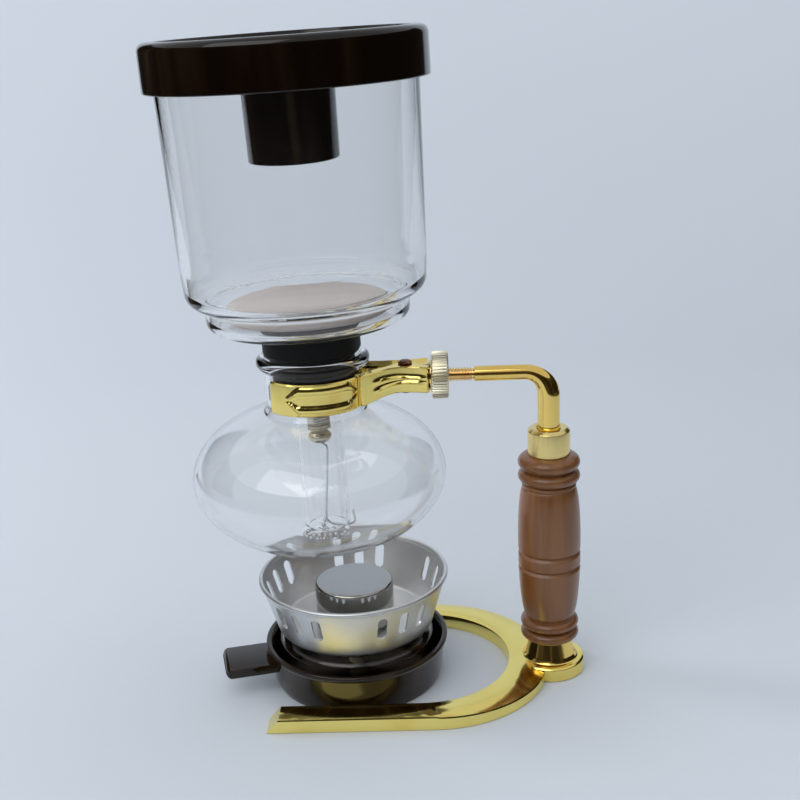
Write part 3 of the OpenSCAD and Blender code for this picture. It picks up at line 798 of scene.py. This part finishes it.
rubber = Finish("black_rubber")
speckle = rubber.noise(2600.0, 2.0)
bloom = rubber.noise(60.0, 3.0)
rubber.surface(
    Base_Color=rubber.blend(bloom, (0.002, 0.002, 0.002), (0.006, 0.006, 0.006)),
    Roughness=bloom * 0.2 + 0.42, Specular_IOR_Level=0.2,
    Normal=rubber.bump(speckle, 0.02 * MM))
plug = seat(turned("rubber_stopper", [
    (STEM_R + 0.05, 116), (14.2, 116, 0.8), (15.05, PLUG_Z - 0.4, 0.3), (16.7, PLUG_Z + 0.1, 0.4),
    (17.35, PLUG_Z + 1.4, 0.5), (17.35, 136.8, 0.8), (16.4, 138.6, 0.5), (STEM_R + 3.4, 138.6, 0.4),
    (STEM_R + 0.05, 135.0)], (cups_x * MM, 0, 0), closed=True))
fit(plug, "upper", "black_rubber", rubber.material, "rubber_plug")

# ---------- Lid ----------
# A push-on lid moulded in glossy, very dark brown. Its top is recessed inside a raised rim, and
# the socket on its inside takes the bowl's tube when the lid is used as a stand.

LID_R, LID_Z, LID_TOP, SOCKET_Z = 47.5, 219.3, 235.3, 193.5


def dark_gloss(name, warm):
    """Moulded plastic with a deep gloss, faint flow marks and a little dust."""
    plastic = Finish(name)
    flow = plastic.noise(110.0, 2.0, stretch=(1, 1, 0.08))
    dust = plastic.noise(2200.0, 1.0)
    return plastic.surface(
        Base_Color=plastic.blend(flow.above(0.45, 0.8), warm, tuple(c * 3 for c in warm)),
        Roughness=dust.above(0.62, 0.8) * 0.12 + flow * 0.05 + 0.09, Specular_IOR_Level=0.3,
        Coat_Weight=0.25, Coat_Roughness=0.06, Normal=plastic.bump(flow, 0.015 * MM))


lid_brown = dark_gloss("lid_brown", (0.004, 0.0018, 0.0008))
lid = seat(turned("moulded_lid", [
    (0, LID_TOP - 1.6), (LID_R - 6.6, LID_TOP - 1.6, 0.6), (LID_R - 5.6, LID_TOP, 0.6),
    (LID_R, LID_TOP, 3.6), (LID_R, LID_Z, 0.5), (LID_R - 1.9, LID_Z, 0.4),
    (LID_R - 2.1, LID_TOP - 3.7, 1.0), (15.95, LID_TOP - 3.7, 1.0), (15.5, SOCKET_Z, 0.4),
    (13.7, SOCKET_Z, 0.4), (13.6, LID_TOP - 3.7, 0.6), (0, LID_TOP - 3.7)],
    (cups_x * MM, 0, 0), sides=160, steps=8))
fit(lid, "lid_body", "dark_brown", lid_brown, "lid")

# ---------- Filter ----------
# A steel disc in a brushed cotton cover that is drawn together below by a string. A coil spring
# pulls it down onto the bowl's floor.

steel = Finish("bright_steel")
smudge = steel.noise(300.0, 2.0)
steel.surface(
    Base_Color=steel.blend(smudge, (0.62, 0.62, 0.62), (0.74, 0.74, 0.75)), Metallic=1.0,
    Roughness=smudge * 0.12 + 0.12, Normal=steel.bump(smudge, 0.01 * MM))
paint(steel.material, "filter_disc")

CLOTH_Z = 142.0
flannel = Finish("cotton_flannel")
weave_x = flannel.node("TexWave", {"bands_direction": "X"}, Vector=flannel.place(), Scale=420.0,
                       Distortion=2.0, Detail=1.0)
weave_y = flannel.node("TexWave", {"bands_direction": "Y"}, Vector=flannel.place(), Scale=420.0,
                       Distortion=2.0, Detail=1.0)
nap = flannel.noise(1400.0, 4.0)
stain = flannel.noise(55.0, 2.0)
flannel.surface(
    Base_Color=flannel.blend(
        nap * 0.5 + stain * 0.4, (0.42, 0.38, 0.37), (0.54, 0.49, 0.48)),
    Roughness=0.95, Specular_IOR_Level=0.2, Sheen_Weight=0.4,
    Normal=flannel.bump(weave_x * 0.3 + weave_y * 0.3 + nap, 0.12 * MM))
cloth_corners = [(0, CLOTH_Z + 3.9), (20, CLOTH_Z + 3.85), (28.6, CLOTH_Z + 3.7, 1.2),
                 (29.05, CLOTH_Z + 0.4, 1.2), (26, CLOTH_Z - 0.3), (13.0, CLOTH_Z - 0.5)]
cloth = turned("filter_cover", cloth_corners, (cups_x * MM, 0, 0), sides=240)
for vertex in cloth.data.vertices:
    place = vertex.co / MM - Vector((cups_x, 0, 0))
    across = math.hypot(place.x, place.y)
    turn = math.atan2(place.y, place.x)
    if place.z < CLOTH_Z + 0.3:
        vertex.co.z += MM * 0.3 * math.sin(turn * 40) * (29 - across) / 16
    else:
        vertex.co.z += MM * 0.05 * math.sin(turn * 5 + across * 0.3)
seat(cloth)
fit(cloth, "filter", "cloth", flannel.material, "filter_cloth")
paint(flannel.material, "drawstring")

brassy = Finish("brassy_wire")
drawn = brassy.noise(900.0, 2.0)
brassy.surface(
    Base_Color=brassy.blend(drawn, (0.62, 0.56, 0.42), (0.78, 0.74, 0.62)), Metallic=1.0,
    Roughness=drawn * 0.15 + 0.14, Normal=brassy.bump(drawn, 0.01 * MM))
COIL_R, COIL_LOW, COIL_HIGH, TURNS = 3.85, 98.6, 141.3, 22
CLOSE_TURNS, CLOSE_H = 7, 6.8
TURN_STEPS = 18
coil_points = []
for i in range(TURNS * TURN_STEPS + 1):
    turns = i / TURN_STEPS
    open_share = max(0, turns - CLOSE_TURNS) / (TURNS - CLOSE_TURNS)
    rise = (COIL_LOW + min(turns, CLOSE_TURNS) / CLOSE_TURNS * CLOSE_H
            + open_share * (COIL_HIGH - COIL_LOW - CLOSE_H))
    coil_points.append((cups_x + COIL_R * math.cos(math.tau * turns),
                        COIL_R * math.sin(math.tau * turns), rise))
coil = wire("pull_spring", coil_points, 0.85, sides=8, smooth=False)
seat(coil)
coil.data.materials.append(brassy.material)
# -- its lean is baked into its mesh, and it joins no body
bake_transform(coil)
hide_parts("filter_spring")

ring = seat(turned("spring_end_bead", [
    (0.7, 94.1), (3.0, 94.1, 0.5), (4.2, 95.4, 0.8), (4.2, 96.6, 0.8), (3.3, 97.8, 0.5),
    (0.7, 97.8)], (cups_x * MM, 0, 0), closed=True, sides=48))
fit(ring, "upper", "spring_wire", brassy.material, "spring_ring")

# ---------- Hook and pull chain ----------
# A stiff wire hangs from the spring to a hook that grips the tube's lip. The ball chain that it is
# pulled by lies in a loose loop at the foot of the bulb.

stem_wire = wire("hook_wire", [
    (cups_x + x, 0, z) for x, z in ((0, 97), (0, 94), (0.2, 93.2), (1.7, 92.6), (2.2, 91.2),
                                    (1.9, 88), (1.2, 80), (0.4, 73), (-0.2, 68), (-0.4, 64.2))],
    0.8, sides=8)
seat(stem_wire)
fit(stem_wire, "upper", "spring_wire", steel.material, "filter_wire")
hook = wire("lip_hook", [
    (cups_x + x, 0, z) for x, z in ((-0.4, 64.4), (-0.4, 63.2), (0.6, 61.6), (2.4, 60.4), (5, 60),
                                    (8.2, 60), (9.7, 60.3), (10.2, 61.6), (10.0, 63.6), (9.6, 66))],
    0.8, sides=8)
seat(hook)
fit(hook, "upper", "spring_wire", steel.material, "filter_hook")

BALL_R = 0.85
LYING_Z = 59.8
drop = [(-0.8 - 0.5 * i, -1.7 - 1.1 * i, 63.4 - 1.75 * i) for i in range(3)]
loop = [(7.5 * math.cos(math.radians(90 - 20 * i)) - 0.5,
         5 * math.sin(math.radians(90 - 20 * i)) - 7, LYING_Z) for i in range(18)]
tail = [(2.0 * i, -12.2, LYING_Z + 2 * BALL_R + 0.1) for i in range(-2, 3)]
chain_places = drop + loop + tail
balls = []
for x, y, z in chain_places:
    bpy.ops.object.select_all(action="DESELECT")
    bpy.ops.mesh.primitive_uv_sphere_add(
        segments=16, ring_count=8, radius=BALL_R * MM, location=((cups_x + x) * MM, y * MM, z * MM))
    bpy.ops.object.transform_apply(location=True, rotation=True, scale=True)
    balls.append(bpy.context.object)
links = wire("chain_links", [(cups_x + x, y, z) for x, y, z in drop + loop], 0.45, smooth=False)
bpy.ops.object.select_all(action="DESELECT")
for ball in balls:
    ball.select_set(True)
links.select_set(True)
bpy.context.view_layer.objects.active = links
bpy.ops.object.join()
chain = bpy.context.object
chain.name = "ball_chain"
bpy.ops.object.shade_smooth()
seat(chain)
fit(chain, "upper", "steel", steel.material, "bead_chain")

# ---------- Lamp tray ----------
# A moulded tray in the lid's dark brown, with a flat tab to pull the lamp out by.

TRAY_R, TRAY_H = 34.3, 16.5
TAB_TURN = math.radians(180 + 13.6)
TAB_W, TAB_Z, TAB_H, TAB_REACH = 17.5, 9.0, 3.5, 50.7
tray_brown = dark_gloss("tray_brown", (0.010, 0.005, 0.002))
tray = turned("moulded_tray", [
    (0, 0), (30.9, 0, 0.8), (31.9, 3, 0), (32.6, 9, 0), (TRAY_R - 0.7, TRAY_H - 2.4, 0.8),
    (TRAY_R, TRAY_H - 1.4, 0.5), (TRAY_R, TRAY_H - 0.1, 0.7), (TRAY_R - 1.7, TRAY_H - 0.1, 0.6),
    (TRAY_R - 2.6, TRAY_H - 1.4, 0.4), (31.2, 12, 0), (30.2, 5.5, 1.5), (29.2, 2, 1.0), (0, 2)],
    (lamp_x * MM, 0, 0), sides=160)
fit(tray, "lamp", "dark_brown", tray_brown, "lamp_tray")

bpy.ops.object.select_all(action="DESELECT")
bpy.ops.mesh.primitive_cube_add(size=1)
tab = bpy.context.object
tab.name = "tray_tab"
tab.scale = ((TAB_REACH - 31.5) * MM, TAB_W * MM, TAB_H * MM)
bpy.ops.object.transform_apply(location=True, rotation=True, scale=True)
bpy.ops.object.mode_set(mode="EDIT")
bpy.ops.mesh.select_all(action="DESELECT")
bpy.ops.object.mode_set(mode="OBJECT")
for edge in tab.data.edges:
    ends = [tab.data.vertices[v].co for v in edge.vertices]
    upright_edge = abs(ends[0].z - ends[1].z) > 1e-6
    edge.select = upright_edge and ends[0].x > 0
bpy.ops.object.mode_set(mode="EDIT")
bpy.ops.mesh.bevel(offset=2.2 * MM, segments=6)
bpy.ops.object.mode_set(mode="OBJECT")
rounding = tab.modifiers.new("edges", "BEVEL")
rounding.width, rounding.segments = 0.8 * MM, 4
bpy.ops.object.modifier_apply(modifier="edges")
tab.matrix_world = Matrix.Translation((lamp_x * MM, 0, 0)) @ Matrix.Rotation(
    TAB_TURN, 4, "Z") @ Matrix.Translation(
    ((TAB_REACH + 31.5) / 2 * MM, 0, (TAB_Z + TAB_H / 2) * MM))
bpy.ops.object.transform_apply(location=True, rotation=True, scale=True)
bpy.ops.object.shade_smooth_by_angle(angle=math.radians(35))
fit(tab, "lamp", "dark_brown", tray_brown)

# ---------- Spirit bowl ----------
# A thick glass bowl that holds the spirit. It sits low in the tray, which shows dark through it.

# its tint is painted dark: painted shade that stands in for the dark tray seen through the glass
lamp_glass = clear_glass("lamp_glass", (0.42, 0.38, 0.33), 0.05)
spirit_bowl = turned("spirit_bowl", [
    (0, 2.4), (28.0, 2.4, 1.2), (29.6, 5.5, 1.5), (30.2, 12.5, 3), (28.8, 18.2, 3.0),
    (24.0, 20.7, 1.0), (8.8, 20.7, 0.4), (8.8, 14.1, 0.4), (10.3, 14.1, 0.4), (10.3, 19.1, 0.4),
    (24.0, 19.1, 1.0), (27.6, 17.2, 2.5), (28.5, 12.5, 3), (27.9, 5.5, 1.5), (26.8, 4.0, 1.0),
    (0, 4.0)], (lamp_x * MM, 0, 0), sides=128)
fit(spirit_bowl, "lamp", "lamp_glass", lamp_glass, "lamp_reservoir")
spirit_bowl.visible_shadow = False

# ---------- Wind guard ----------
# Spun from satin aluminium, with a rolled rim and groups of upright slots punched for the air.

GUARD_Z, GUARD_TOP = 21.6, 42.2
GUARD_FOOT, GUARD_RIM, GUARD_T = 28.7, 35.3, 0.8
SLOT_R, SLOT_HALF, SLOT_Z, SLOT_GROUPS = 1.8, 3, 33.4, 5
aluminium = Finish("satin_aluminium")
spun = aluminium.noise(1100.0, 2.0, stretch=(0.06, 0.06, 1), centre=(lamp_x * MM, 0, 0))
mist = aluminium.noise(90.0, 2.0)
aluminium.surface(
    Base_Color=aluminium.blend(mist, (0.68, 0.69, 0.70), (0.80, 0.81, 0.82)), Metallic=1.0,
    Roughness=spun * 0.1 + mist * 0.06 + 0.3, Normal=aluminium.bump(spun, 0.02 * MM))
guard = turned("spun_wind_guard", [
    (11, GUARD_Z), (GUARD_FOOT, GUARD_Z, 2.4), (GUARD_RIM - 0.9, GUARD_TOP - 1.9, 0.3)]
    + ellipse(0.85, 0.9, GUARD_TOP - 0.95, -60, 210, 14, at=GUARD_RIM - 0.87)
    + [(GUARD_RIM - 1.7, GUARD_TOP - 2.1, 0.3), (GUARD_FOOT - GUARD_T, GUARD_Z + GUARD_T, 1.8),
       (11, GUARD_Z + GUARD_T)], (lamp_x * MM, 0, 0), closed=True, sides=200, steps=5)
slope = math.atan2(GUARD_RIM - 0.9 - GUARD_FOOT, GUARD_TOP - 1.9 - GUARD_Z)


def slot_ring(depth):
    """A slot's outline, a bar with round ends, at a depth through the wall."""
    angles = [math.tau * (i + 0.5) / 24 for i in range(24)]
    return [Vector((depth, SLOT_R * math.cos(a),
                    SLOT_R * math.sin(a) + math.copysign(SLOT_HALF, math.sin(a)))) for a in angles]


for group in range(SLOT_GROUPS):
    for step in (-1, 0, 1):
        angle = math.radians(-54 + 360 / SLOT_GROUPS * group + 15 * step)
        punch = swept("punch", [slot_ring(-4), slot_ring(4)])
        punch.matrix_world = Matrix.Translation((lamp_x * MM, 0, 0)) @ Matrix.Rotation(
            angle, 4, "Z") @ Matrix.Translation(
            ((GUARD_FOOT + 3.9) * MM, 0, SLOT_Z * MM)) @ Matrix.Rotation(slope, 4, "Y")
        bpy.ops.object.transform_apply(location=True, rotation=True, scale=True)
        hole = guard.modifiers.new("slot", "BOOLEAN")
        hole.operation, hole.object, hole.solver = "DIFFERENCE", punch, "EXACT"
        bpy.context.view_layer.objects.active = guard
        bpy.ops.object.modifier_apply(modifier="slot")
        bpy.data.objects.remove(punch)
bpy.ops.object.select_all(action="DESELECT")
guard.select_set(True)
bpy.context.view_layer.objects.active = guard
bpy.ops.object.shade_smooth_by_angle(angle=math.radians(32))
fit(guard, "lamp", "guard_aluminium", aluminium.material, "wind_guard")

felt = Finish("grey_felt")
fibres = felt.noise(1500.0, 4.0)
felt.surface(Base_Color=felt.blend(fibres, (0.12, 0.12, 0.12), (0.3, 0.3, 0.3)), Roughness=0.95,
             Normal=felt.bump(fibres, 0.1 * MM))
paint(felt.material, "guard_gasket")

# ---------- Wick, holder and cap ----------
# A steel holder grips the cotton wick. The cap that snuffs the flame is drawn from steel: its
# side is bright, its flat top satin, with a bright rounded edge.

paint(steel.material, "wick_holder")
cotton = Finish("twisted_cotton")
strands = cotton.node("TexWave", {"bands_direction": "DIAGONAL"}, Vector=cotton.place(),
                      Scale=300.0, Distortion=3.0, Detail=2.0)
char = cotton.node("SeparateXYZ", None, cotton.object_place, output=2).above(0.033, 0.036)
cotton.surface(
    Base_Color=cotton.blend(char, (0.72, 0.68, 0.58), (0.05, 0.04, 0.035)), Roughness=0.95,
    Normal=cotton.bump(strands, 0.3 * MM))
paint(cotton.material, "wick")

CAP_R, CAP_LOW, CAP_TOP = 14.6, 23.5, 38.5
cap_steel = Finish("cap_steel")
across_cap = cap_steel.place(centre=(lamp_x * MM, 0, 0))
level_cap = cap_steel.node("VectorMath", {"operation": "MULTIPLY"}, across_cap, (1, 1, 0))
away = cap_steel.node("VectorMath", {"operation": "LENGTH"}, level_cap, output=1)
cap_height = cap_steel.node("SeparateXYZ", None, cap_steel.object_place, output=2)
top_face = cap_height.above((CAP_TOP - 0.25) * MM, (CAP_TOP - 0.1) * MM)
circles = cap_steel.node("TexNoise", {"noise_dimensions": "1D"}, W=away, Scale=4000.0, Detail=1.0)
rubbing = cap_steel.noise(500.0, 2.0)
cap_steel.surface(
    # the side is painted darker and warmer than the top: painted shade on the side
    Base_Color=cap_steel.blend(top_face, (0.42, 0.41, 0.38), (0.49, 0.50, 0.51)), Metallic=1.0,
    Roughness=top_face * 0.3 + rubbing * 0.06 + 0.04,
    Normal=cap_steel.bump(circles * top_face, 0.01 * MM))
cap = turned("snuffer", [
    (CAP_R - 0.7, CAP_LOW), (CAP_R, CAP_LOW, 0.2), (CAP_R, CAP_TOP, 1.3), (0, CAP_TOP),
    (0, CAP_TOP - 0.7), (CAP_R - 0.7, CAP_TOP - 0.7, 0.9)],
    (lamp_x * MM, 0, 0), closed=True, sides=128, steps=6)
fit(cap, "cap", "cap_chrome", cap_steel.material, "snuffer_cap")

bpy.context.scene.view_settings.view_transform = "Standard"
